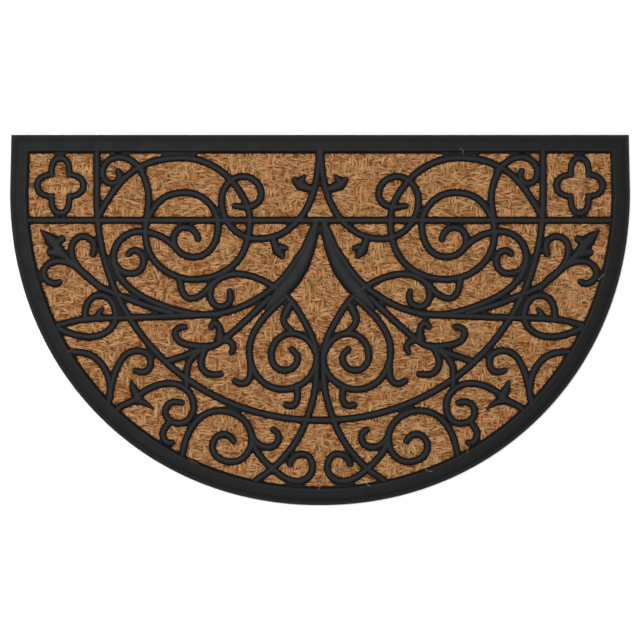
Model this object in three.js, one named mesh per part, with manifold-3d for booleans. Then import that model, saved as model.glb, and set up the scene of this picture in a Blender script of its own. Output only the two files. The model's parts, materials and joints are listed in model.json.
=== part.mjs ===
// A half round doormat: a woven coir panel held in one rubber moulding, whose rim goes all round
// and whose raised scroll bars lie over the coir. Millimetres, +Z up. The origin is on the floor
// under the middle of the mat, +X runs along the straight edge and +Y points towards it.
import * as THREE from 'three';
import { ParametricGeometry } from 'three/addons/geometries/ParametricGeometry.js';
import { mergeVertices } from 'three/addons/utils/BufferGeometryUtils.js';
import Module from 'manifold-3d';

const wasm = await Module();
wasm.setup();

// Size of the mat
const WIDTH = 750;
const DEPTH = 448;
const THICKNESS = 8.5;

// The curved edge is the lower half of a superellipse, whose middle is this far above the mat's
// middle. Above that middle the sides are straight and lean in a little.
const CURVE_MIDDLE = 155;
const CURVE_POWER = 2.06;
const SIDE_LEAN = 1.5;
const CURVE_STEPS = 56;

// The coir panel, and the space left between it and the rubber
const COIR_THICKNESS = 6;
const CLEARANCE = 0.3;

// The rim: how wide it looks from above, how far it covers the coir, its thin outer edge and the
// width of the slope that rises from there
const RIM_WIDTH = 23;
const RIM_OVER_COIR = 11;
const EDGE_THICKNESS = 3.5;
const OUTER_SLOPE = 7;

// The scroll bars
const BAR_WIDTH = 9;
const BAR_BASE = COIR_THICKNESS + CLEARANCE;
const CHORD_SLACK = 0.55;
const TIP_STEPS = 4;
const JOIN_SLACK = 0.05;

// Straight bars across the mat, and the big arch that springs from the uprights
const CROSSBAR_HEIGHT = 120.5;
const ARCH_HALF_WIDTH = 269.6;
const ARCH_MIDDLE = 145;
const ARCH_FALL = 266.3;
const ARCH_POWER = 2.05;
const ARCH_STEPS = 64;

// The four-lobed flower in each top corner: its middle, the reach of its side lobes and of its top
// and bottom lobes, and where neighbouring lobes meet, with the width of their bars there
const FLOWER = {
  across: 313.8,
  up: 162.5,
  sideReach: 28,
  endReach: 33.5,
  cornerAcross: 10.7,
  cornerUp: 13,
  splay: 5,
  cornerWidth: 7.6,
};

// The scrollwork of the right half. Each strand runs through its stations:
// [across, up, heading in degrees, width where it isn't the bar's]. Groups are named by place.
const CENTRE_SCROLLS = {
  topScroll: [[1, 204, 271], [7, 158, 285], [21, 127, 305], [42, 107, 326], [75, 98, 0], [119, 144, 90],
    [93, 173.5, 180], [71, 152, 270], [90, 136.5, 0], [103, 138, 12, 8]],
  longScroll: [[175, 88, 47], [218, 107, 0], [249.5, 76, 270, 9.6], [208, 25, 205], [140, 6.5, 180],
    [62, 35, 143], [31, 69, 122], [17, 91, 113], [5, 121, 103]],
  trunk: [[4, 120, 283, 9], [10, 97, 288, 14], [15, 83, 297, 17], [26, 61, 307, 21], [36, 47, 312, 22],
    [49, 32, 312, 20], [59, 20.5, 312, 13], [65, 13.5, 312, 5]],
  innerBud: [[9, 158, 20, 9], [24, 163.5, 35, 14.5], [30.5, 169.5, 65, 8]],
  innerBudLobe: [[23.5, 167.5, 115, 12], [18.5, 174, 135, 5]],
  outerBud: [[57, 100, 270, 9], [54.5, 92, 258, 10], [50, 83.5, 236, 15], [46, 77.5, 230, 8]],
  outerBudLobe: [[48, 88, 180, 10], [41.5, 87, 188, 7]],
};
const RINGS = {
  ring: [[269, 124, 120], [254, 149, 124], [230, 177, 142], [167, 196, 180], [105, 166, 230],
    [85, 121, 270], [101, 70, 312], [153, 49, 0], [198, 69, 48], [211, 105, 90], [207, 145, 94]],
  ringTie: [[207, 143, 94], [217, 182, 62]],
  innerRing: [[207, 125, 118], [190, 147, 146], [163, 154, 180], [123, 113, 270], [152, 76, 0],
    [177, 97, 90], [163, 112, 180], [147.5, 98, 265, 8.5]],
  cornerCurl: [[214, 180, 48], [243, 197, 0], [263, 178, 270], [251, 165, 180], [242, 175, 90],
    [244, 180, 60, 8]],
  lowerCurl: [[247, 66, 240], [228, 56, 180], [213, 71, 90], [224, 84, 0], [231, 80, 310, 8.5]],
  loop: [[170, 52, 268], [167.5, 38, 258], [156, 26, 180], [130, 45, 125]],
  leftCurl: [[46, 34, 35], [99, 55.5, 2], [133, 31, 270], [120, 16, 180], [108, 28, 88],
    [109, 34.5, 65, 8]],
};
const FAN = {
  spray: [[319, 87, 226, 15], [301, 70, 222], [269, 42.5, 215], [236, 27.5, 203], [180, 8.5, 195]],
  sprayPetal: [[314, 84, 45, 12], [325, 96.5, 50, 17], [337, 108, 40, 3]],
  sprayLobe: [[319, 91, 110, 12], [312, 98, 150, 10]],
  sprayNub: [[315, 81, 0, 14], [325, 82, 0, 11]],
  outerHook: [[274, 47.5, 37], [315.5, 71.5, 0], [334, 57, 270], [320, 44, 180], [315, 46, 150, 8]],
  innerHook: [[264.5, 38, 42], [300.5, 85.5, 91], [286.5, 101, 180], [273, 89, 272], [274.5, 80, 290, 9]],
  rail: [[324, -8, 168], [284, 1, 175], [230, 3, 179], [120, 7, 178]],
  lens: [[322, -7, 208], [279, -20.5, 180], [246.8, 5, 90], [266, 30, 0], [284, 8, 270], [284, 0, 270]],
  lensStub: [[268, 2, 85, 13], [267, 8, 100, 9], [263, 13.5, 125, 5]],
};
const SIDE_BAND = {
  sideArc: [[314, -38, 180], [287, -39.5, 188], [253.5, -83, 268], [255, -108, 272]],
  sideScroll: [[256, -106, 95], [248, -65, 108], [222, -37, 180], [204.5, -50, 270], [214, -63, 0],
    [223, -61, 25, 8]],
  lilyStem: [[250, -114, 140, 9], [240, -104, 152, 9], [220, -94, 140, 11]],
  lilyUpper: [[219, -95, 60, 13], [225, -84, 72, 11], [228, -74, 82, 4]],
  lilyLower: [[223, -97, 190, 10], [212, -100, 205, 8], [202, -107, 212, 3]],
  bandCurl: [[223, -94, 140], [182, -76.5, 180], [152.5, -104, 270], [170, -125, 0], [187, -111, 90],
    [175, -99, 180], [167, -100, 188, 8]],
  bandHook: [[182, -122, 285], [190, -137, 270], [182, -149, 190], [179, -148, 160, 8]],
};
const HEART = {
  centreLine: [[40, 28, 222], [21, 2, 240], [4, -46, 270], [9, -98, 286], [28.5, -146, 302],
    [52, -175, 315], [86, -200, 322]],
  heart: [[43.5, 26.3, 318], [85.5, -38, 270], [45, -84, 180], [4, -50, 98]],
  heartSpiral: [[5, -40, 72], [34, -16, 0], [59, -43, 270], [43, -61, 180], [27, -46, 90],
    [34, -35.5, 48, 8.5]],
  heartLoop: [[33.5, 22, 308, 11], [41, 9, 290, 11], [44, 0, 264], [33, -15, 222]],
  outerHook: [[84, -52, 265], [94, -77, 0], [103, -73.5, 35, 8.5]],
  lowerHook: [[28, -82, 260], [36, -104, 0], [41, -102.5, 25, 8.5]],
};
const LILY = {
  branch: [[60, 28, 315], [118, -25, 322], [142, -36, 335], [161, -62, 272], [161, -78, 266]],
  tie: [[146, -36, 332], [188, -51.5, 338]],
  sideHook: [[134, -31.5, 350], [158, -30, 8], [175, -16, 90], [164, -8.5, 185, 8.5]],
  upperHook: [[121, -25, 95, 14], [121, -12, 86, 9], [127.5, -4, 0], [131.5, -8.5, 295, 8]],
  innerHook: [[122, -25, 165], [105, -33, 270], [107, -39, 315, 8]],
  lowerHook: [[137, -33, 300], [144, -52, 268], [130, -66, 180], [120, -65.3, 165, 8.5]],
};
const BOTTOM_BAND = {
  bigCurl: [[167, -176, 90], [121, -109.5, 180], [82.5, -144, 270], [107, -171.5, 0], [130, -153, 90],
    [116.5, -138, 180], [104.5, -146, 240, 8.5]],
  branch: [[84, -134, 262], [62.5, -154, 180], [50, -142, 90], [56.5, -132.5, 30, 8.5]],
  crossing: [[83, -146, 250], [60, -177.5, 222], [27, -195, 180], [9, -178, 90], [21, -162, 0],
    [36, -174, 275, 8.5]],
};

const DEGREE = Math.PI / 180;

function superellipse(halfWidth, fall, power, turn) {
  const across = halfWidth * Math.sign(Math.cos(turn)) * Math.abs(Math.cos(turn)) ** (2 / power);
  const down = fall * Math.sin(turn) ** (2 / power);
  return new THREE.Vector2(across, -down);
}

// The mat's outline moved inwards, anticlockwise from the left end of the curve
function matOutline(inset) {
  const points = [];
  for (let step = 0; step <= CURVE_STEPS; step++) {
    const turn = Math.PI * (1 - step / CURVE_STEPS);
    const point = superellipse(WIDTH / 2 - inset, DEPTH / 2 + CURVE_MIDDLE - inset, CURVE_POWER, turn);
    points.push(point.add(new THREE.Vector2(0, CURVE_MIDDLE)));
  }
  const corner = WIDTH / 2 - SIDE_LEAN - inset;
  points.push(new THREE.Vector2(corner, DEPTH / 2 - inset), new THREE.Vector2(-corner, DEPTH / 2 - inset));
  return points;
}

function toManifold(geometry) {
  const bare = geometry.clone();
  bare.deleteAttribute('normal');
  bare.deleteAttribute('uv');
  const merged = mergeVertices(bare, 1e-4);
  const mesh = new wasm.Mesh({
    numProp: 3,
    vertProperties: new Float32Array(merged.attributes.position.array),
    triVerts: new Uint32Array(merged.index.array),
  });
  mesh.merge();
  return new wasm.Manifold(mesh);
}

function toGeometry(solid) {
  const mesh = solid.getMesh();
  const geometry = new THREE.BufferGeometry();
  geometry.setAttribute('position', new THREE.BufferAttribute(mesh.vertProperties, 3));
  geometry.setIndex(new THREE.BufferAttribute(mesh.triVerts, 1));
  geometry.computeVertexNormals();
  return geometry;
}

function slab(points, base, height) {
  const geometry = new THREE.ExtrudeGeometry(new THREE.Shape(points), { depth: height, bevelEnabled: false });
  return geometry.translate(0, 0, base);
}

// The turn from one heading to another, the short way round
function turnBetween(from, to) {
  return ((((to - from) % 360) + 540) % 360) - 180;
}

// A smooth curve from one station to the next, close to a circle's arc where the headings suit one
function stretch(from, to) {
  const start = new THREE.Vector2(from[0], from[1]);
  const end = new THREE.Vector2(to[0], to[1]);
  const turn = turnBetween(from[2], to[2]) * DEGREE;
  const reach = start.distanceTo(end) / (3 * Math.cos(turn / 4) ** 2);
  const leaving = new THREE.Vector2(reach, 0).rotateAround(new THREE.Vector2(), from[2] * DEGREE).add(start);
  const arriving = new THREE.Vector2(-reach, 0).rotateAround(new THREE.Vector2(), to[2] * DEGREE).add(end);
  return new THREE.CubicBezierCurve(start, leaving, arriving, end);
}

// Enough steps that the chords stay close to the curve
function stepsAlong(from, to) {
  const chord = new THREE.Vector2(to[0] - from[0], to[1] - from[1]);
  const straight = chord.angle() / DEGREE;
  const bending = Math.abs(turnBetween(from[2], straight)) + Math.abs(turnBetween(straight, to[2]));
  return Math.max(1, Math.ceil(Math.sqrt((bending * DEGREE * chord.length()) / (8 * CHORD_SLACK))));
}

// Points along a strand, each with its heading and half its width there
function strandPoints(stations) {
  const points = [];
  for (let leg = 0; leg < stations.length - 1; leg++) {
    const [from, to] = [stations[leg], stations[leg + 1]];
    const curve = stretch(from, to);
    const steps = stepsAlong(from, to);
    for (let step = leg === 0 ? 0 : 1; step <= steps; step++) {
      const share = step / steps;
      const width = THREE.MathUtils.lerp(from[3] ?? BAR_WIDTH, to[3] ?? BAR_WIDTH, share);
      points.push({ at: curve.getPoint(share), heading: curve.getTangent(share), half: width / 2 });
    }
  }
  return points;
}

function besidePoint({ at, heading, half }, degrees) {
  const arm = heading.clone().multiplyScalar(half).rotateAround(new THREE.Vector2(), degrees * DEGREE);
  return arm.add(at);
}

// A bar of the strand's width with round tips
function strandBar(stations) {
  const points = strandPoints(stations);
  const outline = points.map((point) => besidePoint(point, -90));
  for (let step = 1; step < TIP_STEPS; step++) {
    outline.push(besidePoint(points.at(-1), -90 + (180 * step) / TIP_STEPS));
  }
  for (const point of points.toReversed()) {
    outline.push(besidePoint(point, 90));
  }
  for (let step = 1; step < TIP_STEPS; step++) {
    outline.push(besidePoint(points[0], 90 + (180 * step) / TIP_STEPS));
  }
  return slab(outline, BAR_BASE, THICKNESS - BAR_BASE);
}

function mirrored(stations) {
  return stations.map(([across, up, heading, width]) => [-across, up, 180 - heading, width]);
}

// One lobe of the flower, turned to its place
function flowerLobe(quarter) {
  const sideways = quarter % 2 === 0;
  const reach = sideways ? FLOWER.sideReach : FLOWER.endReach;
  const near = sideways ? FLOWER.cornerAcross : FLOWER.cornerUp;
  const far = sideways ? FLOWER.cornerUp : FLOWER.cornerAcross;
  const lobe = [
    [near, -far, -FLOWER.splay, FLOWER.cornerWidth],
    [reach, 0, 90, BAR_WIDTH],
    [near, far, 180 + FLOWER.splay, FLOWER.cornerWidth],
  ];
  return lobe.map(([across, up, heading, width]) => {
    const at = new THREE.Vector2(across, up).rotateAround(new THREE.Vector2(), quarter * 90 * DEGREE);
    return [FLOWER.across + at.x, FLOWER.up + at.y, heading + quarter * 90, width];
  });
}

// One side of the big arch and of its uprights, this far out from their middle line
function archSide(out) {
  const top = DEPTH / 2 - RIM_WIDTH + BAR_WIDTH / 2;
  const points = [new THREE.Vector2(ARCH_HALF_WIDTH + out, top)];
  for (let step = 0; step <= ARCH_STEPS; step++) {
    const turn = (Math.PI * step) / ARCH_STEPS;
    const point = superellipse(ARCH_HALF_WIDTH + out, ARCH_FALL + out, ARCH_POWER, turn);
    points.push(point.add(new THREE.Vector2(0, ARCH_MIDDLE)));
  }
  points.push(new THREE.Vector2(-ARCH_HALF_WIDTH - out, top));
  return points;
}

function archBar() {
  const outline = [...archSide(BAR_WIDTH / 2), ...archSide(-BAR_WIDTH / 2).reverse()];
  return slab(outline, BAR_BASE, THICKNESS - BAR_BASE);
}

// The rim's section, as [inset from the mat's edge, height]
const RIM_SECTION = [
  [0, 0],
  [0, EDGE_THICKNESS],
  [OUTER_SLOPE, THICKNESS],
  [RIM_WIDTH, THICKNESS],
  [RIM_WIDTH, BAR_BASE],
  [RIM_WIDTH - RIM_OVER_COIR, BAR_BASE],
  [RIM_WIDTH - RIM_OVER_COIR, 0],
];

function rimSolid() {
  const rings = RIM_SECTION.map(([inset]) => matOutline(inset));
  const around = rings[0].length;
  const surface = (u, v, target) => {
    const corner = Math.round(v * RIM_SECTION.length) % RIM_SECTION.length;
    const point = rings[corner][Math.round(u * around) % around];
    target.set(point.x, point.y, RIM_SECTION[corner][1]);
  };
  return new ParametricGeometry(surface, around, RIM_SECTION.length);
}

function rubberMoulding() {
  const across = WIDTH / 2 - RIM_WIDTH / 2;
  const strands = [[[-across, CROSSBAR_HEIGHT, 0], [across, CROSSBAR_HEIGHT, 0]]];
  const half = [CENTRE_SCROLLS, RINGS, FAN, SIDE_BAND, HEART, LILY, BOTTOM_BAND].flatMap(Object.values);
  half.push(...[0, 1, 2, 3].map(flowerLobe));
  for (const stations of half) {
    strands.push(stations, mirrored(stations));
  }
  let solid = toManifold(rimSolid());
  for (const bar of [archBar(), ...strands.map(strandBar)]) {
    solid = solid.add(toManifold(bar));
  }
  return toGeometry(solid.asOriginal().simplify(JOIN_SLACK));
}

function coirPanel() {
  return slab(matOutline(RIM_WIDTH - RIM_OVER_COIR + CLEARANCE), 0, COIR_THICKNESS);
}

const rubber = new THREE.MeshStandardMaterial({ color: 0x2b2c2e, roughness: 0.7, metalness: 0 });
const coir = new THREE.MeshStandardMaterial({ color: 0xb77d4b, roughness: 0.95, metalness: 0 });

function part(name, geometry, material) {
  const mesh = new THREE.Mesh(geometry, material);
  mesh.name = name;
  return mesh;
}

const mat = new THREE.Group();
mat.add(part('coir_panel', coirPanel(), coir));
mat.add(part('rubber_moulding', rubberMoulding(), rubber));

export default mat;
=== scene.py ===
# A half round doormat: woven coir in a rubber moulding, with scroll bars raised over the coir.
# Sizes are in millimetres until a mesh is finished, and the floor, lights and camera are in metres. The
# straight edge is towards +Y.
import json
import math
import random

import bmesh
import bpy
import numpy as np
from mathutils import Matrix, Vector, noise

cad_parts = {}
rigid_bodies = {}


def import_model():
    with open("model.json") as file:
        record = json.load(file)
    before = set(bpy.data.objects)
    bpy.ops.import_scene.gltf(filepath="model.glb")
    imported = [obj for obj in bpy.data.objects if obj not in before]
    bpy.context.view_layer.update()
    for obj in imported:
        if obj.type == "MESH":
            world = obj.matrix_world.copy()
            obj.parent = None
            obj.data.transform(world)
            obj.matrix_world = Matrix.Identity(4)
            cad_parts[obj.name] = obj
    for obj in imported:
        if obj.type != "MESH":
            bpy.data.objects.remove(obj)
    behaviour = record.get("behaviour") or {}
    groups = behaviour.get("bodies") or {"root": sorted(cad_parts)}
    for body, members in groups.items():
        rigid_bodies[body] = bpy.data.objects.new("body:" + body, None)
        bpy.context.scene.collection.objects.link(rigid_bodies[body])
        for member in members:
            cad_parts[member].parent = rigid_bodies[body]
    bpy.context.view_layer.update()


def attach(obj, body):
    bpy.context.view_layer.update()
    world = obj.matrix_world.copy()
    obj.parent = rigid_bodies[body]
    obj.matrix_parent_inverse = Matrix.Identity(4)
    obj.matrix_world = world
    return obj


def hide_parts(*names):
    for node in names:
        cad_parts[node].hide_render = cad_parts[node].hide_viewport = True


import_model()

MM = 0.001

# Size of the mat. Its curved edge is the lower half of a superellipse whose middle is CURVE_MIDDLE
# above the mat's own. From there up the sides are straight and lean in by SIDE_LEAN.
WIDTH = 750
DEPTH = 448
THICKNESS = 8.5
CURVE_MIDDLE = 155
CURVE_POWER = 2.06
SIDE_LEAN = 1.5
CURVE_STEPS = 180
EDGE_STEPS = 60

# The rim: its width seen from above, how far it laps over the coir, and the space left beside the coir
RIM_WIDTH = 23
RIM_OVER_COIR = 11
CLEARANCE = 0.3

# The scroll bars: their usual width, the height of their feet, which stand in among the tops of the
# yarns, and how far they run into the rim
BAR_WIDTH = 9
BAR_FOOT = 5.4
INTO_RIM = 3.5

# The ends of a bar: the angles of the rings that round them off, how deep an end lies at least in a bar
# that it joins, and the share of its roundness that it keeps there
TIP_ANGLES = (25, 50, 70, 84)
JOINED_DEPTH = 1
JOINED_TIP = 0.4

# The longest step between a bar's rings, in millimetres and in degrees of turn
STEP_LENGTH = 7
STEP_TURN = 12

# The spacing of the places noted along each bar, and the coarse grid that finds them again
BAR_SAMPLE = 2
BAR_CELL = 12

# The straight bar across the mat, and the big arch with its two uprights, which stop UPRIGHT_SHORT
# before the furthest that a bar runs into the rim
CROSSBAR_HEIGHT = 120.5
ARCH_HALF_WIDTH = 269.6
ARCH_MIDDLE = 145
ARCH_FALL = 266.3
ARCH_POWER = 2.05
ARCH_STEPS = 180
UPRIGHT_SHORT = 1

# The grid that the webs are worked out on, and how many of its cells they reach: between bars that
# nearly touch, in a corner, along a bar from a corner, across an opening too small to be moulded, and
# on into the bars
WEB_CELL = 0.75
WEB_NARROW = 2
WEB_CORNER = 3.6
WEB_ALONG = 1
WEB_OPENING = 2.9
WEB_OVERLAP = 2

# A web's height at its open edge, its rise in each of the first cells from there, and how many times
# its steps are smoothed
WEB_EDGE_HEIGHT = 6.5
WEB_RISE = 0.4
WEB_RISE_CELLS = 3
WEB_SMOOTHINGS = 4

# The four-lobed flower in each top corner: its middle, how far its lobes reach, the corners where they
# meet, how their ends splay, how far these run past the corner and how wide they are there
FLOWER_ACROSS = 313.8
FLOWER_UP = 162.5
FLOWER_SIDE_REACH = 28
FLOWER_END_REACH = 33.5
FLOWER_CORNER_ACROSS = 10.7
FLOWER_CORNER_UP = 13
FLOWER_SPLAY = 5
FLOWER_CUSP = 2
FLOWER_CUSP_WIDTH = 7.6

# The scrollwork of the right half. Each strand runs through its stations:
# (across, up, heading in degrees, width where it isn't the bar's)
CENTRE_SCROLLS = [
    [(1, 204, 271), (7, 158, 285), (21, 127, 305), (42, 107, 326), (75, 98, 0), (119, 144, 90),
     (93, 173.5, 180), (71, 152, 270), (90, 136.5, 0), (103, 138, 12, 8)],
    [(175, 88, 47), (218, 107, 0), (249.5, 76, 270, 9.6), (208, 25, 205), (140, 6.5, 180), (62, 35, 143),
     (31, 69, 122), (17, 91, 113), (5, 121, 103)],
    [(4, 120, 283, 9), (10, 97, 288, 14), (15, 83, 297, 17), (26, 61, 307, 21), (36, 47, 312, 22),
     (49, 32, 312, 20), (59, 20.5, 312, 13), (65, 13.5, 312, 5)],
    [(9, 158, 20, 9), (24, 163.5, 35, 14.5), (30.5, 169.5, 65, 8)],
    [(23.5, 167.5, 115, 12), (18.5, 174, 135, 5)],
    [(57, 100, 270, 9), (54.5, 92, 258, 10), (50, 83.5, 236, 15), (46, 77.5, 230, 8)],
    [(48, 88, 180, 10), (41.5, 87, 188, 7)],
]
RINGS = [
    [(269, 124, 120), (254, 149, 124), (230, 177, 142), (167, 196, 180), (105, 166, 230), (85, 121, 270),
     (101, 70, 312), (153, 49, 0), (198, 69, 48), (211, 105, 90), (207, 145, 94)],
    [(207, 143, 94), (217, 182, 62)],
    [(207, 125, 118), (190, 147, 146), (163, 154, 180), (123, 113, 270), (152, 76, 0), (177, 97, 90),
     (163, 112, 180), (147.5, 98, 265, 8.5)],
    [(214, 180, 48), (243, 197, 0), (263, 178, 270), (251, 165, 180), (242, 175, 90), (244, 180, 60, 8)],
    [(247, 66, 240), (228, 56, 180), (213, 71, 90), (224, 84, 0), (231, 80, 310, 8.5)],
    [(170, 52, 268), (167.5, 38, 258), (156, 26, 180), (130, 45, 125)],
    [(46, 34, 35), (99, 55.5, 2), (133, 31, 270), (120, 16, 180), (108, 28, 88), (109, 34.5, 65, 8)],
]
FAN = [
    [(319, 87, 226, 15), (301, 70, 222), (269, 42.5, 215), (236, 27.5, 203), (180, 8.5, 195)],
    [(314, 84, 45, 12), (325, 96.5, 50, 17), (337, 108, 40, 3)],
    [(319, 91, 110, 12), (312, 98, 150, 10)],
    [(315, 81, 0, 14), (325, 82, 0, 11)],
    [(274, 47.5, 37), (315.5, 71.5, 0), (334, 57, 270), (320, 44, 180), (315, 46, 150, 8)],
    [(264.5, 38, 42), (300.5, 85.5, 91), (286.5, 101, 180), (273, 89, 272), (274.5, 80, 290, 9)],
    [(324, -8, 168), (284, 1, 175), (230, 3, 179), (120, 7, 178)],
    [(322, -7, 208), (279, -20.5, 180), (246.8, 5, 90), (266, 30, 0), (284, 8, 270), (284, 0, 270)],
    [(268, 2, 85, 13), (267, 8, 100, 9), (263, 13.5, 125, 5)],
]
SIDE_BAND = [
    [(314, -38, 180), (287, -39.5, 188), (253.5, -83, 268), (255, -108, 272)],
    [(256, -106, 95), (248, -65, 108), (222, -37, 180), (204.5, -50, 270), (214, -63, 0),
     (223, -61, 25, 8)],
    [(250, -114, 140, 9), (240, -104, 152, 9), (220, -94, 140, 11)],
    [(219, -95, 60, 13), (225, -84, 72, 11), (228, -74, 82, 4)],
    [(223, -97, 190, 10), (212, -100, 205, 8), (202, -107, 212, 3)],
    [(223, -94, 140), (182, -76.5, 180), (152.5, -104, 270), (170, -125, 0), (187, -111, 90),
     (175, -99, 180), (167, -100, 188, 8)],
    [(182, -122, 285), (190, -137, 270), (182, -149, 190), (179, -148, 160, 8)],
]
HEART = [
    [(40, 28, 222), (21, 2, 240), (4, -46, 270), (9, -98, 286), (28.5, -146, 302), (52, -175, 315),
     (86, -200, 322)],
    [(43.5, 26.3, 318), (85.5, -38, 270), (45, -84, 180), (4, -50, 98)],
    [(5, -40, 72), (34, -16, 0), (59, -43, 270), (43, -61, 180), (27, -46, 90), (34, -35.5, 48, 8.5)],
    [(33.5, 22, 308, 11), (41, 9, 290, 11), (44, 0, 264), (33, -15, 222)],
    [(84, -52, 265), (94, -77, 0), (103, -73.5, 35, 8.5)],
    [(28, -82, 260), (36, -104, 0), (41, -102.5, 25, 8.5)],
]
LILY = [
    [(60, 28, 315), (118, -25, 322), (142, -36, 335), (161, -62, 272), (161, -78, 266)],
    [(146, -36, 332), (188, -51.5, 338)],
    [(134, -31.5, 350), (158, -30, 8), (175, -16, 90), (164, -8.5, 185, 8.5)],
    [(121, -25, 95, 14), (121, -12, 86, 9), (127.5, -4, 0), (131.5, -8.5, 295, 8)],
    [(122, -25, 165), (105, -33, 270), (107, -39, 315, 8)],
    [(137, -33, 300), (144, -52, 268), (130, -66, 180), (120, -65.3, 165, 8.5)],
]
BOTTOM_BAND = [
    [(167, -176, 90), (121, -109.5, 180), (82.5, -144, 270), (107, -171.5, 0), (130, -153, 90),
     (116.5, -138, 180), (104.5, -146, 240, 8.5)],
    [(84, -134, 262), (62.5, -154, 180), (50, -142, 90), (56.5, -132.5, 30, 8.5)],
    [(83, -146, 250), (60, -177.5, 222), (27, -195, 180), (9, -178, 90), (21, -162, 0),
     (36, -174, 275, 8.5)],
]

# A bar's section, as (share of half its width, height, painted light: a painted highlight on the crest,
# painted shade down the sides)
BAR_SECTION = [
    (-1, BAR_FOOT, 0), (-1, 6.2, 0), (-0.93, 6.9, 0), (-0.78, 7.6, 0.1), (-0.56, 8.1, 0.5),
    (-0.28, 8.4, 0.9), (0, THICKNESS, 1), (0.28, 8.4, 0.9), (0.56, 8.1, 0.5), (0.78, 7.6, 0.1),
    (0.93, 6.9, 0), (1, 6.2, 0), (1, BAR_FOOT, 0),
]

# The rim's section, as (inset from the mat's edge, height, painted light: painted highlights on the outer
# lip and the inner bead, painted shade down the inner slope), and the distance under which its first and
# last points are merged
RIM_SECTION = [
    (0.4, 0, 0.3), (0, 0.5, 0.4), (0, 2.6, 0.5), (0.5, 3.4, 0.8), (3.4, 7.0, 0.8), (4.2, 7.6, 0.8),
    (5.2, 7.75, 0.5), (6.0, 7.7, 0.4), (7.0, 8.25, 0.5), (8.2, 8.4, 0.37), (12.0, 8.4, 0.37),
    (15.6, 8.4, 0.35), (16.8, 8.35, 0.4), (18.2, THICKNESS, 0.75), (19.4, 8.35, 0.5), (20.4, 7.9, 0.1),
    (21.8, 7.2, 0), (23.0, 6.3, 0), (23.0, BAR_FOOT, 0), (12.0, BAR_FOOT, 0.4), (12.0, 0, 0.4),
]
MERGE_UNDER = 0.01


def inside(x, y, inset):
    """Whether a place is within the mat's edge moved inwards."""
    if y > DEPTH / 2 - inset:
        return False
    half = WIDTH / 2 - inset
    if y > CURVE_MIDDLE:
        return abs(x) < half - SIDE_LEAN
    fall = DEPTH / 2 + CURVE_MIDDLE - inset
    return (abs(x) / half) ** CURVE_POWER + (abs(CURVE_MIDDLE - y) / fall) ** CURVE_POWER < 1


def superellipse(half_width, fall, power, turn):
    """A point on the lower half of a superellipse, from its middle."""
    across = half_width * math.copysign(abs(math.cos(turn)) ** (2 / power), math.cos(turn))
    return Vector((across, -fall * max(math.sin(turn), 0) ** (2 / power)))


def mat_outline(inset):
    """Points of the mat's edge moved inwards, along the curve and back along the straight edge."""
    points = []
    for step in range(CURVE_STEPS + 1):
        turn = math.pi * (1 - step / CURVE_STEPS)
        point = superellipse(WIDTH / 2 - inset, DEPTH / 2 + CURVE_MIDDLE - inset, CURVE_POWER, turn)
        points.append(point + Vector((0, CURVE_MIDDLE)))
    corner = WIDTH / 2 - SIDE_LEAN - inset
    for step in range(EDGE_STEPS + 1):
        points.append(Vector((corner * (1 - 2 * step / EDGE_STEPS), DEPTH / 2 - inset)))
    return points


def turn_between(start, end):
    """The turn from one heading to another, the shorter way round."""
    return (((end - start) % 360) + 540) % 360 - 180


def heading_vector(degrees):
    return Vector((math.cos(math.radians(degrees)), math.sin(math.radians(degrees))))


def width_at(station):
    return station[3] if len(station) > 3 else BAR_WIDTH


def strand_rings(stations):
    """Points on the smooth curve through a strand's stations, as (place, heading, half its width)."""
    rings = []
    for start, end in zip(stations, stations[1:]):
        first = Vector(start[:2])
        last = Vector(end[:2])
        chord = last - first
        turn = math.radians(turn_between(start[2], end[2]))
        reach = chord.length / (3 * math.cos(turn / 4) ** 2)
        leaving = first + heading_vector(start[2]) * reach
        arriving = last - heading_vector(end[2]) * reach
        straight = math.degrees(math.atan2(chord.y, chord.x))
        bending = abs(turn_between(start[2], straight)) + abs(turn_between(straight, end[2]))
        steps = max(2, math.ceil(chord.length / STEP_LENGTH), math.ceil(bending / STEP_TURN))
        for step in range(0 if not rings else 1, steps + 1):
            gone = step / steps
            left = 1 - gone
            place = first * left**3 + leaving * 3 * left * left * gone
            place += arriving * 3 * left * gone * gone
            place += last * gone**3
            heading = (leaving - first) * left * left + (arriving - leaving) * 2 * left * gone
            heading += (last - arriving) * gone * gone
            half = (width_at(start) * left + width_at(end) * gone) / 2
            rings.append((place, heading.normalized(), half))
    return rings


def with_round_tips(rings, strand):
    """The rings with narrowing ones at each end, which is blunter where it meets the rim or another bar."""
    tips = [(math.sin(math.radians(angle)), math.cos(math.radians(angle))) for angle in TIP_ANGLES]
    place, heading, half = rings[0]
    reach = half * (JOINED_TIP if meets_another(place, strand) else 1)
    first = [(place - heading * reach * out, heading, half * left) for out, left in reversed(tips)]
    place, heading, half = rings[-1]
    reach = half * (JOINED_TIP if meets_another(place, strand) else 1)
    last = [(place + heading * reach * out, heading, half * left) for out, left in tips]
    return first + rings + last


def extruded(bm, face):
    """The new end face of a bar or the rim, which is carried on without a wall left inside it."""
    made = bmesh.ops.extrude_face_region(bm, geom=[face, *face.edges])
    return next(part for part in made["geom"] if isinstance(part, bmesh.types.BMFace))


def place_section(face, painted_light, ring):
    """Puts the bar's section at a ring."""
    place, heading, half = ring
    side = Vector((heading.y, -heading.x))
    for vert, (share, height, painted_lightness) in zip(face.verts, BAR_SECTION):
        spot = place + side * (share * half)
        vert.co = (spot.x, spot.y, height)
        # Painted light: a painted highlight along the crest, painted shade down the sides
        vert[painted_light] = painted_lightness


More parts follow.
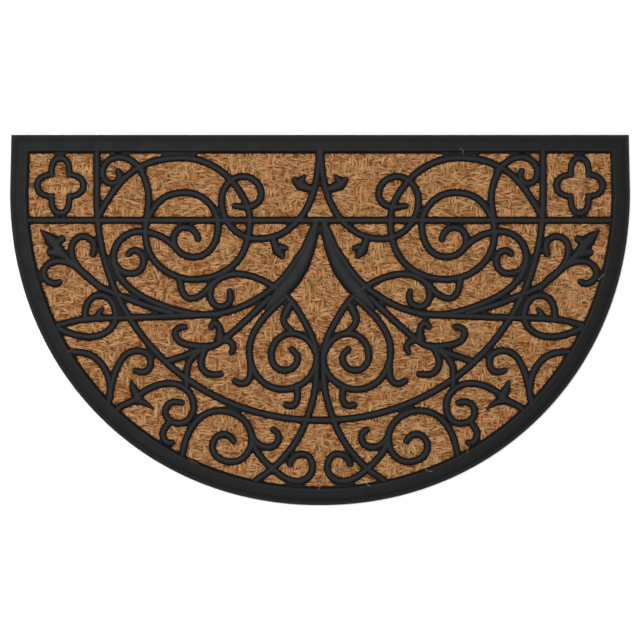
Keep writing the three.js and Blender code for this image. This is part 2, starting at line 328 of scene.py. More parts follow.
def swept_bar(rings):
    """A closed bar with the bar's section at each ring."""
    bm = bmesh.new()
    painted_light = bm.verts.layers.float.new("painted_light")
    face = bm.faces.new([bm.verts.new() for _ in BAR_SECTION])
    place_section(face, painted_light, rings[0])
    for ring in rings[1:]:
        face = extruded(bm, face)
        place_section(face, painted_light, ring)
    bmesh.ops.recalc_face_normals(bm, faces=bm.faces)
    return bm


def mirrored(stations):
    """The same strand on the left half."""
    return [(-station[0], station[1], 180 - station[2], *station[3:]) for station in stations]


def flower_lobe(quarter):
    """The stations of one lobe, which is so many quarter turns round from the right."""
    sideways = quarter % 2 == 0
    reach = FLOWER_SIDE_REACH if sideways else FLOWER_END_REACH
    near = FLOWER_CORNER_ACROSS if sideways else FLOWER_CORNER_UP
    far = FLOWER_CORNER_UP if sideways else FLOWER_CORNER_ACROSS
    stations = []
    cusp = near - FLOWER_CUSP
    for across, up, heading, width in (
        (cusp, -far, -FLOWER_SPLAY, FLOWER_CUSP_WIDTH),
        (reach, 0, 90, BAR_WIDTH),
        (cusp, far, 180 + FLOWER_SPLAY, FLOWER_CUSP_WIDTH),
    ):
        turned = Matrix.Rotation(math.radians(90 * quarter), 2) @ Vector((across, up))
        stations.append((FLOWER_ACROSS + turned.x, FLOWER_UP + turned.y, heading + 90 * quarter, width))
    return stations


def arch_rings():
    """The big arch from the top of its left upright round to the top of its right one."""
    middle = Vector((0, ARCH_MIDDLE))
    places = []
    for step in range(ARCH_STEPS + 1):
        turn = math.pi * (1 - step / ARCH_STEPS)
        places.append(superellipse(ARCH_HALF_WIDTH, ARCH_FALL, ARCH_POWER, turn) + middle)
    top = DEPTH / 2 - RIM_WIDTH + INTO_RIM - UPRIGHT_SHORT
    places = [Vector((-ARCH_HALF_WIDTH, top)), *places, Vector((ARCH_HALF_WIDTH, top))]
    rings = []
    for index, place in enumerate(places):
        before = places[max(index - 1, 0)]
        after = places[min(index + 1, len(places) - 1)]
        rings.append((place, (after - before).normalized(), BAR_WIDTH / 2))
    return rings


def all_bars():
    """Every bar's rings, on both sides of the mat."""
    across = WIDTH / 2 - RIM_WIDTH / 2
    strands = [[(-across, CROSSBAR_HEIGHT, 0), (across, CROSSBAR_HEIGHT, 0)]]
    half = [*CENTRE_SCROLLS, *RINGS, *FAN, *SIDE_BAND, *HEART, *LILY, *BOTTOM_BAND]
    half += [flower_lobe(quarter) for quarter in range(4)]
    for stations in half:
        strands += [stations, mirrored(stations)]
    bars = [arch_rings()] + [strand_rings(stations) for stations in strands]
    return [[ring for ring in rings if inside(*ring[0], RIM_WIDTH - INTO_RIM)] for rings in bars]


def rim_ring():
    """The rim: its section carried once round the mat."""
    outlines = [mat_outline(inset) for inset, _, _ in RIM_SECTION]
    around = len(outlines[0])
    bm = bmesh.new()
    painted_light = bm.verts.layers.float.new("painted_light")
    face = bm.faces.new([bm.verts.new() for _ in RIM_SECTION])
    caps = [face]
    for step in range(around + 1):
        if step:
            face = extruded(bm, face)
        for vert, outline, (_, height, painted_lightness) in zip(face.verts, outlines, RIM_SECTION):
            spot = outline[step % around]
            vert.co = (spot.x, spot.y, height)
            # Painted light: painted highlights on the outer lip and the inner bead, painted shade down the
            # inner slope
            vert[painted_light] = painted_lightness
    caps.append(face)
    bmesh.ops.delete(bm, geom=[cap for cap in caps if cap.is_valid], context="FACES_ONLY")
    bmesh.ops.remove_doubles(bm, verts=bm.verts, dist=MERGE_UNDER)
    bmesh.ops.recalc_face_normals(bm, faces=bm.faces)
    return bm


def walls_down(bm, edges, height):
    """Draws walls from the edges down to a height, and gives the edges at their foot."""
    made = bmesh.ops.extrude_edge_only(bm, edges=edges)["geom"]
    low = {part for part in made if isinstance(part, bmesh.types.BMVert)}
    for vert in low:
        vert.co.z = height
    made_edges = [part for part in made if isinstance(part, bmesh.types.BMEdge)]
    return [edge for edge in made_edges if low.issuperset(edge.verts)]


def finished(name, bm, material, smooth_under=40):
    """A scene object from millimetre geometry."""
    bmesh.ops.scale(bm, vec=(MM, MM, MM), verts=bm.verts)
    mesh = bpy.data.meshes.new(name)
    bm.to_mesh(mesh)
    bm.free()
    mesh.materials.append(material)
    mesh.shade_smooth()
    if smooth_under:
        mesh.set_sharp_from_angle(angle=math.radians(smooth_under))
    obj = bpy.data.objects.new(name, mesh)
    bpy.context.collection.objects.link(obj)
    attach(obj, "root")
    return obj


# Materials: how much the coir's fibres and mottling count, how much each strand's own shade counts, the
# shift that sets how light the coir is on the whole, and how the strands' hues differ
SURFACE_CONTRAST = 1.25
OWN_SHADE = 0.62
LIGHTNESS_SHIFT = -1.03
OWN_HUE = 0.16
HUES_PER_SHADE = 40


def new_material(name):
    material = bpy.data.materials.new(name)
    material.use_nodes = True
    nodes = material.node_tree.nodes
    return material, nodes, material.node_tree.links, nodes["Principled BSDF"]


def give(links, value, socket):
    """Links the value to the socket, or sets it there where it is a plain number."""
    if isinstance(value, bpy.types.NodeSocket):
        links.new(value, socket)
    else:
        socket.default_value = value


def noise_node(nodes, links, coords, scale, detail=3.0, roughness=0.55):
    node = nodes.new("ShaderNodeTexNoise")
    links.new(coords, node.inputs["Vector"])
    give(links, scale, node.inputs["Scale"])
    give(links, detail, node.inputs["Detail"])
    node.inputs["Roughness"].default_value = roughness
    return node.outputs["Fac"]


def math_node(nodes, links, operation, *values):
    node = nodes.new("ShaderNodeMath")
    node.operation = operation
    for value, socket in zip(values, node.inputs):
        give(links, value, socket)
    return node.outputs["Value"]


def range_node(nodes, links, value, low, high):
    node = nodes.new("ShaderNodeMapRange")
    node.inputs["To Min"].default_value = low
    node.inputs["To Max"].default_value = high
    links.new(value, node.inputs["Value"])
    return node.outputs["Result"]


def ramp_node(nodes, links, value, stops):
    node = nodes.new("ShaderNodeValToRGB")
    ramp = node.color_ramp
    while len(ramp.elements) < len(stops):
        ramp.elements.new(0.5)
    for element, (position, color) in zip(ramp.elements, stops):
        element.position = position
        element.color = (*color, 1)
    links.new(value, node.inputs["Fac"])
    return node.outputs["Color"]


def attribute_node(nodes, name):
    node = nodes.new("ShaderNodeAttribute")
    node.attribute_name = name
    return node.outputs


def bump_node(nodes, links, height, strength, depth):
    node = nodes.new("ShaderNodeBump")
    links.new(height, node.inputs["Height"])
    give(links, strength, node.inputs["Strength"])
    give(links, depth, node.inputs["Distance"])
    return node.outputs["Normal"]


def new_group(name, inputs, outputs):
    """An empty shader group, with the sockets that it is given and those that it gives."""
    group = bpy.data.node_groups.new(name, "ShaderNodeTree")
    for socket, kind in inputs.items():
        group.interface.new_socket(socket, in_out="INPUT", socket_type="NodeSocket" + kind)
    for socket, kind in outputs.items():
        group.interface.new_socket(socket, in_out="OUTPUT", socket_type="NodeSocket" + kind)
    given = group.nodes.new("NodeGroupInput").outputs
    result = group.nodes.new("NodeGroupOutput").inputs
    return group, given, result


def group_node(nodes, links, group, **values):
    node = nodes.new("ShaderNodeGroup")
    node.node_tree = group
    for name, value in values.items():
        give(links, value, node.inputs[name])
    return node.outputs


def fine_grain_group():
    """A grain that is too fine to model."""
    inputs = {"Place": "Vector", "Scale": "Float", "Detail": "Float", "Strength": "Float", "Depth": "Float"}
    group, given, result = new_group("fine grain", inputs, {"Normal": "Vector"})
    nodes, links = group.nodes, group.links
    grain = noise_node(nodes, links, given["Place"], given["Scale"], given["Detail"])
    links.new(bump_node(nodes, links, grain, given["Strength"], given["Depth"]), result["Normal"])
    return group


def coir_strand_group():
    """Strands of coir: how light each place is, its tint and the fibres twisted round the strand."""
    inputs = {"Place": "Vector", "Strand": "Vector", "Shade": "Float"}
    outputs = {"Lightness": "Float", "Tint": "Color", "Fibres": "Float"}
    group, given, result = new_group("coir strand", inputs, outputs)
    nodes, links = group.nodes, group.links
    twist = nodes.new("ShaderNodeMapping")
    twist.inputs["Rotation"].default_value = (0, 0, 0.5)
    twist.inputs["Scale"].default_value = (0.35, 2.6, 3.0)
    links.new(given["Strand"], twist.inputs["Vector"])
    fibres = noise_node(nodes, links, twist.outputs["Vector"], scale=1.6, roughness=0.7)
    mottle = noise_node(nodes, links, given["Place"], scale=150, detail=4, roughness=0.7)
    surface = math_node(nodes, links, "ADD", fibres, mottle)
    surface = math_node(nodes, links, "MULTIPLY_ADD", surface, SURFACE_CONTRAST, LIGHTNESS_SHIFT)
    lightness = math_node(nodes, links, "MULTIPLY_ADD", given["Shade"], OWN_SHADE, surface)
    hue_turn = math_node(nodes, links, "MULTIPLY", given["Shade"], HUES_PER_SHADE)
    own_hue = math_node(nodes, links, "SINE", hue_turn)
    patches = noise_node(nodes, links, given["Place"], scale=75)
    hue = math_node(nodes, links, "MULTIPLY_ADD", own_hue, OWN_HUE, patches)
    tint = ramp_node(nodes, links, hue, [(0.30, (1.02, 0.90, 0.83)), (0.70, (0.90, 1.01, 0.93))])
    links.new(lightness, result["Lightness"])
    links.new(tint, result["Tint"])
    links.new(fibres, result["Fibres"])
    return group


fine_grain = fine_grain_group()
coir_strand = coir_strand_group()


def rubber_material():
    material, nodes, links, shader = new_material("moulded rubber")
    coords = nodes.new("ShaderNodeTexCoord").outputs["Object"]
    patches = noise_node(nodes, links, coords, scale=80, detail=5, roughness=0.65)
    uneven = range_node(nodes, links, patches, low=-0.3, high=0.3)
    # Painted light with random patches over it: painted shade on the sides of the bars and rim, a painted
    # highlight along their crests
    painted_light_and_patches = math_node(nodes, links, "ADD", attribute_node(nodes, "painted_light")["Fac"], uneven)
    # Darkest: painted shade; middle: the rubber's own colour on flat tops; lightest: painted highlight
    color = ramp_node(nodes, links, painted_light_and_patches, [
        (0.0, (0.0030, 0.0031, 0.0034)),
        (0.45, (0.0072, 0.0074, 0.0079)),
        (1.0, (0.0138, 0.0143, 0.0153)),
    ])
    links.new(color, shader.inputs["Base Color"])
    shader.inputs["Specular IOR Level"].default_value = 0.08
    rough = range_node(nodes, links, noise_node(nodes, links, coords, scale=60), low=0.42, high=0.62)
    links.new(rough, shader.inputs["Roughness"])
    grain = group_node(
        nodes, links, fine_grain, Place=coords, Scale=1500, Detail=2, Strength=0.35, Depth=0.0002
    )
    links.new(grain["Normal"], shader.inputs["Normal"])
    return material


def coir_ground_material():
    material, nodes, links, shader = new_material("coir ground")
    coords = nodes.new("ShaderNodeTexCoord").outputs["Object"]
    patches = noise_node(nodes, links, coords, scale=260, detail=4)
    # The ground is darker than the yarns: painted shade for the gaps between yarns, where it shows; noise
    # patches vary it
    color = ramp_node(nodes, links, patches, [
        (0.35, (0.075, 0.026, 0.0067)),
        (0.65, (0.175, 0.070, 0.022)),
    ])
    links.new(color, shader.inputs["Base Color"])
    shader.inputs["Roughness"].default_value = 0.95
    shader.inputs["Specular IOR Level"].default_value = 0.1
    grain = group_node(
        nodes, links, fine_grain, Place=coords, Scale=900, Detail=3, Strength=0.8, Depth=0.001
    )
    links.new(grain["Normal"], shader.inputs["Normal"])
    return material


def strand_material(name, stops, fibre_depth):
    material, nodes, links, shader = new_material(name)
    coords = nodes.new("ShaderNodeTexCoord").outputs["Object"]
    strand = attribute_node(nodes, "strand")["Vector"]
    shade = attribute_node(nodes, "shade")["Fac"]
    look = group_node(nodes, links, coir_strand, Place=coords, Strand=strand, Shade=shade)
    tinted = nodes.new("ShaderNodeMix")
    tinted.data_type = "RGBA"
    tinted.blend_type = "MULTIPLY"
    tinted.inputs["Factor"].default_value = 1.0
    links.new(ramp_node(nodes, links, look["Lightness"], stops), tinted.inputs["A"])
    links.new(look["Tint"], tinted.inputs["B"])
    links.new(tinted.outputs["Result"], shader.inputs["Base Color"])
    shader.inputs["Roughness"].default_value = 0.85
    shader.inputs["Specular IOR Level"].default_value = 0.12
    ridges = bump_node(nodes, links, look["Fibres"], strength=0.6, depth=fibre_depth)
    links.new(ridges, shader.inputs["Normal"])
    return material


rubber = rubber_material()
ground = coir_ground_material()
yarn = strand_material("coir yarn", [
    (0.0, (0.100, 0.0325, 0.0074)),
    (0.25, (0.200, 0.0785, 0.023)),
    (0.55, (0.333, 0.157, 0.059)),
    (0.85, (0.480, 0.265, 0.131)),
], fibre_depth=0.0003)
hair = strand_material("coir fibre", [
    (0.0, (0.247, 0.100, 0.032)),
    (0.4, (0.380, 0.184, 0.073)),
    (0.85, (0.513, 0.304, 0.162)),
], fibre_depth=0.0001)

bars = all_bars()

# The bars near each cell of the coarse grid, as (middle of the bar, half its width, which bar)
bars_by_cell = {}
for strand, rings in enumerate(bars):
    for (start, _, half), (end, _, _) in zip(rings, rings[1:]):
        count = max(1, math.ceil((end - start).length / BAR_SAMPLE))
        for step in range(count):
            spot = start.lerp(end, step / count)
            column, row = round(spot.x / BAR_CELL), round(spot.y / BAR_CELL)
            for cell in [(column + i, row + j) for i in (-1, 0, 1) for j in (-1, 0, 1)]:
                bars_by_cell.setdefault(cell, []).append((spot, half, strand))


def bars_near(spot):
    return bars_by_cell.get((round(spot.x / BAR_CELL), round(spot.y / BAR_CELL)), ())


def meets_another(spot, strand):
    """Whether the end of a bar lies in the rim or in another bar."""
    if not inside(spot.x, spot.y, RIM_WIDTH):
        return True
    return any(
        other != strand and (spot - place).length < half - JOINED_DEPTH
        for place, half, other in bars_near(spot)
    )


def open_coir(spot, margin):
    """Whether a place is clear of the rim and of every bar by the margin."""
    if not inside(spot.x, spot.y, RIM_WIDTH + margin):
        return False
    return all((spot - place).length > half + margin for place, half, _ in bars_near(spot))


def shifted(cells, right, down):
    """The cells moved over. What leaves at one side comes in at the other, and both sides are rubber."""
    return np.roll(cells, (down, right), axis=(0, 1))


def grown(cells, radius):
    """The cells and every cell within the radius of one."""
    result = cells.copy()
    reach = math.ceil(radius)
    for down in range(-reach, reach + 1):
        for right in range(-reach, reach + 1):
            if 0 < right * right + down * down <= radius * radius:
                result |= shifted(cells, right, down)
    return result


def rounded(cells, radius):
    """The cells and every gap and corner that a disc of the radius can't enter."""
    return ~grown(~grown(cells, radius), radius)


def without_slits(closed):
    """The cells, and also every opening that is too small to be moulded.

    A larger opening is followed out to its edges, two cells at a time.
    """
    opening = ~grown(closed, WEB_OPENING)
    while True:
        wider = grown(opening, 2) & ~closed
        if (wider == opening).all():
            return ~opening
        opening = wider


def cells_of_rubber():
    """Which cells of the webs' grid lie on the rim or a bar."""
    columns = round(WIDTH / WEB_CELL)
    rows = round(DEPTH / WEB_CELL)
    x = (np.arange(columns) + 0.5) * WEB_CELL - WIDTH / 2
    y = ((np.arange(rows) + 0.5) * WEB_CELL - DEPTH / 2)[:, None]
    half = WIDTH / 2 - RIM_WIDTH
    fall = DEPTH / 2 + CURVE_MIDDLE - RIM_WIDTH
    below = np.maximum(CURVE_MIDDLE - y, 0)
    cells = (np.abs(x) / half) ** CURVE_POWER + (below / fall) ** CURVE_POWER > 1
    cells |= y > DEPTH / 2 - RIM_WIDTH
    for rings in bars:
        for (start, _, first_half), (end, _, last_half) in zip(rings, rings[1:]):
            count = math.ceil((end - start).length / WEB_CELL)
            for step in range(count + 1):
                spot = start.lerp(end, step / count)
                reach = first_half + (last_half - first_half) * step / count
                left, right = (round((spot.x + side * reach + WIDTH / 2) / WEB_CELL) for side in (-1, 1))
                low, high = (round((spot.y + side * reach + DEPTH / 2) / WEB_CELL) for side in (-1, 1))
                low, left = max(low, 0), max(left, 0)
                near = np.hypot(x[left:right] - spot.x, y[low:high] - spot.y) < reach
                cells[low:high, left:right] |= near
    return cells


def webs():
    """The rubber that rounds off each sharp corner between bars, or between a bar and the rim."""
    rubber_cells = cells_of_rubber()
    rows, columns = rubber_cells.shape
    in_corners = rounded(rubber_cells, WEB_CORNER) & grown(rubber_cells, WEB_ALONG)
    closed = without_slits(rounded(rubber_cells, WEB_NARROW) | in_corners)
    fill = closed & ~rubber_cells
    depth = np.zeros(fill.shape)
    open_ground = ~closed
    for _ in range(WEB_RISE_CELLS):
        open_ground = grown(open_ground, 1)
        depth += ~open_ground
    wanted = grown(fill, WEB_OVERLAP) & closed
    bm = bmesh.new()
    # The webs carry no painted light, so they take the rubber's darkest colours, those of the painted shade
    bm.verts.layers.float.new("painted_light")
    bmesh.ops.create_grid(bm, x_segments=columns, y_segments=rows, size=0.5)
    unwanted = [face for face, kept in zip(bm.faces, wanted.flat) if not kept]
    bmesh.ops.delete(bm, geom=unwanted, context="FACES")
    bmesh.ops.scale(bm, vec=(columns * WEB_CELL, rows * WEB_CELL, 1), verts=bm.verts)
    bmesh.ops.translate(bm, vec=(0, (rows * WEB_CELL - DEPTH) / 2, 0), verts=bm.verts)
    loose = set()
    for face in bm.faces:
        middle = face.calc_center_median()
        cell = int((middle.y + DEPTH / 2) / WEB_CELL), int((middle.x + WIDTH / 2) / WEB_CELL)
        for vert in face.verts:
            vert.co.z = WEB_EDGE_HEIGHT + WEB_RISE * depth[cell]
        if fill[cell]:
            loose.update(face.verts)
    for _ in range(WEB_SMOOTHINGS):
        bmesh.ops.smooth_vert(
            bm, verts=list(loose), factor=0.5, use_axis_x=True, use_axis_y=True, use_axis_z=True
        )
    bottom = walls_down(bm, [edge for edge in bm.edges if edge.is_boundary], BAR_FOOT)
    bmesh.ops.triangle_fill(bm, edges=bottom, normal=(0, 0, -1))
    bmesh.ops.recalc_face_normals(bm, faces=bm.faces)
    return bm


# The rubber moulding: the rim, the webs, and every bar swept along its strand
moulding_mesh = rim_ring()
web_mesh = webs()
bar_meshes = [swept_bar(with_round_tips(rings, strand)) for strand, rings in enumerate(bars)]
for part in [web_mesh, *bar_meshes]:
    part_mesh = bpy.data.meshes.new("part")
    part.to_mesh(part_mesh)
    part.free()
    moulding_mesh.from_mesh(part_mesh)
    bpy.data.meshes.remove(part_mesh)
moulding = finished("moulding", moulding_mesh, rubber)
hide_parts("rubber_moulding")

# The coir's body under the yarns: its grid, its height, and how much and how quickly that varies
GROUND_STEP = 2.5
GROUND_HEIGHT = 4.2
GROUND_UNEVEN = 0.6
GROUND_RATE = 0.35
GROUND_LAYER = 9.0

# The coir's weave: blocks of short yarns, most of them lying across the mat and some up it, how much
# each yarn's place, height and turn vary, and how far in under the rubber a yarn may lie
YARN_PITCH = 3.05
YARNS_ACROSS = 4
YARNS_UP = 3
UPRIGHT_SHARE = 0.3
YARN_HEIGHT = 5.3
YARN_ASIDE = 0.4
YARN_ALONG = 1.0
YARN_LOWER = 0.25
YARN_HIGHER = 0.2
YARN_TURN = 0.24
YARN_UNDER_RUBBER = 3.5

# How the weave drifts, in slow waves and in a quicker ripple: their rates, reaches and noise layers
DRIFT_RATE = 0.03
DRIFT_ACROSS = 5
DRIFT_UP = 4
DRIFT_LAYER = 3.0
RIPPLE_RATE = 0.11
RIPPLE_REACH = 1.8
RIPPLE_LAYER = 8.0

# The stray fibres on the coir: their number and height, how far they keep from the rubber, and how their
# turns spread
HAIR_COUNT = 12000
HAIR_HEIGHT = 5.6
HAIR_LOWER = 0.1
HAIR_HIGHER = 0.15
HAIR_MARGIN = 0.5
HAIR_SPREAD = 0.7

# The loose fibres that have worked out over the rim's lip: how far above the mat's top they lie, and how
# near to the rim's inner edge and how far from it
LOOSE_COUNT = 8
LOOSE_ABOVE_RIM = 0.25
LOOSE_NEAREST = 1
LOOSE_FURTHEST = 4

# The kinds of each strand: how many there are, how many waves each has, how much it slants as a share
# of a wave, and how the sizes differ
KINDS = 16
WAVES = (0.5, 1.3)
SLANT = 0.5
SIZE_SPREAD = (0.85, 1.15)

# A strand's shape: how wide its ends are as a share of its middle, how it widens and rises from them,
# how far its middle line stands above its sides, and how far it tilts end to end, in radians
END_WIDTH = 0.6
WIDENING = 0.5
RISING = 0.6
CROWN = 0.42
TILT = 0.04

SEED = 11
random.seed(SEED)
noise.seed_set(SEED)


def coir_slab():
    """The coir's body, which shows only from below and in the gaps between yarns."""
    inset = RIM_WIDTH - RIM_OVER_COIR + CLEARANCE
    bm = bmesh.new()
    across = round((WIDTH - 2 * inset) / GROUND_STEP)
    up = round((DEPTH - 2 * inset) / GROUND_STEP)
    bmesh.ops.create_grid(bm, x_segments=across, y_segments=up, size=0.5)
    bmesh.ops.scale(bm, vec=(across * GROUND_STEP, up * GROUND_STEP, 1), verts=bm.verts)
    outside = [vert for vert in bm.verts if not inside(vert.co.x, vert.co.y, inset + GROUND_STEP)]
    bmesh.ops.delete(bm, geom=outside, context="VERTS")
    for vert in bm.verts:
        fuzz = noise.noise(Vector((vert.co.x * GROUND_RATE, vert.co.y * GROUND_RATE, GROUND_LAYER)))
        vert.co.z = GROUND_HEIGHT + GROUND_UNEVEN * fuzz
    stepped = [edge for edge in bm.edges if edge.is_boundary]
    corners = [bm.verts.new((*point, GROUND_HEIGHT)) for point in mat_outline(inset)]
    outline = [bm.edges.new(pair) for pair in zip(corners, corners[1:] + corners[:1])]
    bmesh.ops.triangle_fill(bm, edges=stepped + outline, use_beauty=True, normal=(0, 0, 1))
    bmesh.ops.holes_fill(bm, edges=walls_down(bm, outline, height=0), sides=0)
    bmesh.ops.recalc_face_normals(bm, faces=bm.faces)
    return bm


panel = finished("coir", coir_slab(), ground, smooth_under=0)
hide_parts("coir_panel")


def wander(spot):
    """How far the weave has drifted at a place."""
    drift = noise.noise_vector(Vector((spot.x * DRIFT_RATE, spot.y * DRIFT_RATE, DRIFT_LAYER)))
    ripple = noise.noise_vector(Vector((spot.x * RIPPLE_RATE, spot.y * RIPPLE_RATE, RIPPLE_LAYER)))
    across = drift.x * DRIFT_ACROSS + ripple.x * RIPPLE_REACH
    up = drift.y * DRIFT_UP + ripple.y * RIPPLE_REACH
    return Vector((across, up))


def yarn_places():
    """Where the yarns lie, as (place, height, turn), across the mat and up it."""
    across, up = [], []
    block_width = YARNS_ACROSS * YARN_PITCH
    block_depth = YARNS_UP * YARN_PITCH
    columns = math.ceil(WIDTH / 2 / block_width)
    rows = math.ceil(DEPTH / 2 / block_depth)
    for row in range(-rows, rows + 1):
        for column in range(-columns, columns + 1):
            middle = Vector(((column + (row % 2) / 2) * block_width, row * block_depth))
            upright = random.random() < UPRIGHT_SHARE
            count = YARNS_ACROSS if upright else YARNS_UP
            for index in range(count):
                aside = (index - (count - 1) / 2) * YARN_PITCH + random.uniform(-YARN_ASIDE, YARN_ASIDE)
                along = random.uniform(-YARN_ALONG, YARN_ALONG)
                place = middle + (Vector((aside, along)) if upright else Vector((along, aside)))
                place += wander(place)
                turn = random.uniform(-YARN_TURN, YARN_TURN) + random.choice((0, math.pi))
                height = YARN_HEIGHT + random.uniform(-YARN_LOWER, YARN_HIGHER)
                if not open_coir(place, -YARN_UNDER_RUBBER):
                    continue
                if upright:
                    up.append((place, height, turn + math.pi / 2))
                else:
                    across.append((place, height, turn))
    return across, up


def anywhere():
    """A place somewhere in the mat's box."""
    return Vector((random.uniform(-0.5, 0.5) * WIDTH, random.uniform(-0.5, 0.5) * DEPTH))


def hair_places():
    """Where the stray fibres lie, as (place, height, turn)."""
    places = []
    while len(places) < HAIR_COUNT:
        spot = anywhere()
        if open_coir(spot, HAIR_MARGIN):
            turn = random.gauss(0, HAIR_SPREAD) + random.choice((0, math.pi))
            places.append((spot, HAIR_HEIGHT + random.uniform(-HAIR_LOWER, HAIR_HIGHER), turn))
    return places


def loose_places():
    """Where a few long fibres have worked out over the rim's lip, as (place, height, turn)."""
    places = []
    while len(places) < LOOSE_COUNT:
        spot = anywhere()
        on_rim = not inside(spot.x, spot.y, RIM_WIDTH - LOOSE_NEAREST)
        if on_rim and inside(spot.x, spot.y, RIM_WIDTH - LOOSE_FURTHEST):
            places.append((spot, THICKNESS + LOOSE_ABOVE_RIM, random.uniform(0, 2 * math.pi)))
    return places


def bed_of(places):
    """An object of loose points that carry their turns."""
    bm = bmesh.new()
    turning = bm.verts.layers.float.new("turn")
    for place, height, turn in places:
        vert = bm.verts.new((place.x * MM, place.y * MM, height * MM))
        vert[turning] = turn
    mesh = bpy.data.meshes.new("bed")
    bm.to_mesh(mesh)
    bm.free()
    bed = bpy.data.objects.new("bed", mesh)
    bpy.context.collection.objects.link(bed)
    return bed


def strand_kinds(length, width, wave, dip, segments, faces_across):
    """A collection of wavy strands whose ends dip, all drawn along X."""
    kinds = bpy.data.collections.new("kinds")
    for index in range(KINDS):
        bm = bmesh.new()
        bmesh.ops.create_grid(bm, x_segments=segments, y_segments=faces_across, size=1)
        strand = bm.verts.layers.float_vector.new("strand")
        start = random.uniform(0, 2 * math.pi)
        waves = random.uniform(*WAVES) * 2 * math.pi
        slant = random.uniform(-SLANT, SLANT) * wave
        stretch = random.uniform(*SIZE_SPREAD)
        girth = random.uniform(*SIZE_SPREAD)
        for vert in bm.verts:
            share = (vert.co.x + 1) / 2
            out = vert.co.y
            arch = math.sin(math.pi * share)
            x = (share - 0.5) * length * stretch
            y = wave * math.sin(start + waves * share) + slant * (share - 0.5)
            y += out * (END_WIDTH + (1 - END_WIDTH) * arch ** WIDENING) * girth * width / 2
            z = -dip * (1 - arch ** RISING) - CROWN * width * girth * out * out
            vert.co = (x * MM, y * MM, z * MM)
            vert[strand] = (x, out, start)
        mesh = bpy.data.meshes.new("kind")
        bm.to_mesh(mesh)
        bm.free()
        mesh.shade_smooth()
        kinds.objects.link(bpy.data.objects.new(f"kind {index}", mesh))
    return kinds


def laying_tree(kinds, seed, roll):
    """Geometry nodes that put one of the kinds on every point, turned as the point says."""
    tree = bpy.data.node_groups.new("lay strands", "GeometryNodeTree")
    tree.interface.new_socket("Geometry", in_out="INPUT", socket_type="NodeSocketGeometry")
    tree.interface.new_socket("Geometry", in_out="OUTPUT", socket_type="NodeSocketGeometry")
    nodes, links = tree.nodes, tree.links

    def chance(low, high, salt, kind="FLOAT"):
        node = nodes.new("FunctionNodeRandomValue")
        node.data_type = kind
        sockets = [socket for socket in node.inputs if socket.enabled]
        sockets[0].default_value = low
        sockets[1].default_value = high
        node.inputs["Seed"].default_value = seed * 10 + salt
        return next(socket for socket in node.outputs if socket.enabled)

    turn = nodes.new("GeometryNodeInputNamedAttribute")
    turn.data_type = "FLOAT"
    turn.inputs["Name"].default_value = "turn"
    lean = nodes.new("ShaderNodeCombineXYZ")
    links.new(chance(-roll, roll, salt=2), lean.inputs["X"])
    links.new(chance(-TILT, TILT, salt=3), lean.inputs["Y"])
    links.new(turn.outputs["Attribute"], lean.inputs["Z"])
    source = nodes.new("GeometryNodeCollectionInfo")
    source.inputs["Collection"].default_value = kinds
    source.inputs["Separate Children"].default_value = True
    lay = nodes.new("GeometryNodeInstanceOnPoints")
    lay.inputs["Pick Instance"].default_value = True
    links.new(nodes.new("NodeGroupInput").outputs["Geometry"], lay.inputs["Points"])
    links.new(source.outputs["Instances"], lay.inputs["Instance"])
    links.new(chance(0, KINDS - 1, salt=4, kind="INT"), lay.inputs["Instance Index"])
    links.new(lean.outputs["Vector"], lay.inputs["Rotation"])
    links.new(chance(*SIZE_SPREAD, salt=5), lay.inputs["Scale"])
    shade = nodes.new("GeometryNodeStoreNamedAttribute")
    shade.data_type = "FLOAT"
    shade.domain = "INSTANCE"
    shade.inputs["Name"].default_value = "shade"
    links.new(lay.outputs["Instances"], shade.inputs["Geometry"])
    links.new(chance(0.0, 1.0, salt=6), shade.inputs["Value"])
    real = nodes.new("GeometryNodeRealizeInstances")
    links.new(shade.outputs["Geometry"], real.inputs["Geometry"])
    links.new(real.outputs["Geometry"], nodes.new("NodeGroupOutput").inputs["Geometry"])
    return tree


def laid(name, places, kinds, material, seed, roll):
    """A piece with a strand at every place."""
    bed = bed_of(places)
    modifier = bed.modifiers.new("lay", "NODES")
    modifier.node_group = laying_tree(kinds, seed, roll)
    settled = bed.evaluated_get(bpy.context.evaluated_depsgraph_get())
    mesh = bpy.data.meshes.new_from_object(settled)
    mesh.name = name
    mesh.materials.clear()
    mesh.materials.append(material)
    piece = bpy.data.objects.new(name, mesh)
    bpy.context.collection.objects.link(piece)
    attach(piece, "root")
    bpy.data.objects.remove(bed)
    return piece


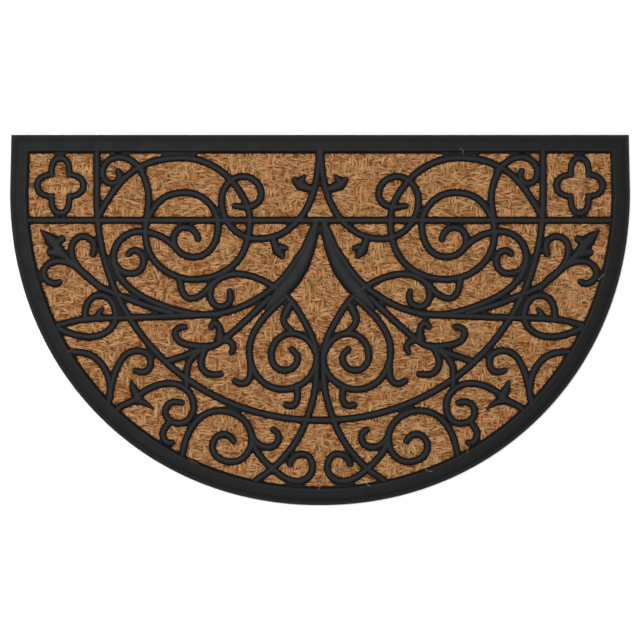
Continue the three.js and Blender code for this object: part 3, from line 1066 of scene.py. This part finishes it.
yarn_kinds = strand_kinds(length=13.0, width=2.7, wave=0.8, dip=1.1, segments=8, faces_across=3)
hair_kinds = strand_kinds(length=8, width=0.5, wave=1.1, dip=0.3, segments=5, faces_across=1)
loose_kinds = strand_kinds(length=16, width=0.3, wave=2.4, dip=2.4, segments=16, faces_across=1)
places_across, places_up = yarn_places()
yarn_pieces = [
    laid("yarns_across", places_across, yarn_kinds, yarn, seed=1, roll=0.2),
    laid("yarns_up", places_up, yarn_kinds, yarn, seed=2, roll=0.2),
    laid("stray_fibres", hair_places(), hair_kinds, hair, seed=3, roll=0.5),
    laid("loose_fibres", loose_places(), loose_kinds, hair, seed=4, roll=0.0),
]
for kinds in (yarn_kinds, hair_kinds, loose_kinds):
    for unused in list(kinds.objects):
        bpy.data.objects.remove(unused)
    bpy.data.collections.remove(kinds)

# Floor, light and camera
bpy.ops.mesh.primitive_plane_add(size=12)
floor = bpy.context.object
floor.name = "floor"
floor_material, _, _, floor_shader = new_material("pale floor")
floor_shader.inputs["Base Color"].default_value = (0.87, 0.87, 0.87, 1)
floor_shader.inputs["Roughness"].default_value = 0.9
floor.data.materials.append(floor_material)


def softbox(name, place, size, power):
    """A square light aimed at the mat's middle."""
    light = bpy.data.lights.new(name, "AREA")
    light.shape = "SQUARE"
    light.size = size
    light.energy = power
    obj = bpy.data.objects.new(name, light)
    obj.location = place
    obj.rotation_euler = (-Vector(place)).to_track_quat("-Z", "Y").to_euler()
    bpy.context.collection.objects.link(obj)


softbox("overhead light", place=(-0.3, 0.3, 2.2), size=1.0, power=42)
softbox("left light", place=(-2.0, 0.3, 1.4), size=1.2, power=10)
softbox("right light", place=(2.0, 0.3, 1.4), size=1.2, power=10)
world = bpy.data.worlds.new("studio")
world.use_nodes = True
world.node_tree.nodes["Background"].inputs["Color"].default_value = (1, 1, 1, 1)
world.node_tree.nodes["Background"].inputs["Strength"].default_value = 0.38
bpy.context.scene.world = world
bpy.context.scene.view_settings.view_transform = "Standard"

# The camera looks straight down, and its picture is FRAME_WIDTH wide at the mat's top
CAMERA_HEIGHT = 3.0
FRAME_WIDTH = 0.7728
SENSOR_WIDTH = 36
camera_data = bpy.data.cameras.new("camera")
camera_data.sensor_width = SENSOR_WIDTH
camera_data.lens = SENSOR_WIDTH * (CAMERA_HEIGHT - THICKNESS * MM) / FRAME_WIDTH
camera = bpy.data.objects.new("camera", camera_data)
camera.location = (0, 0, CAMERA_HEIGHT)
bpy.context.collection.objects.link(camera)
bpy.context.scene.camera = camera
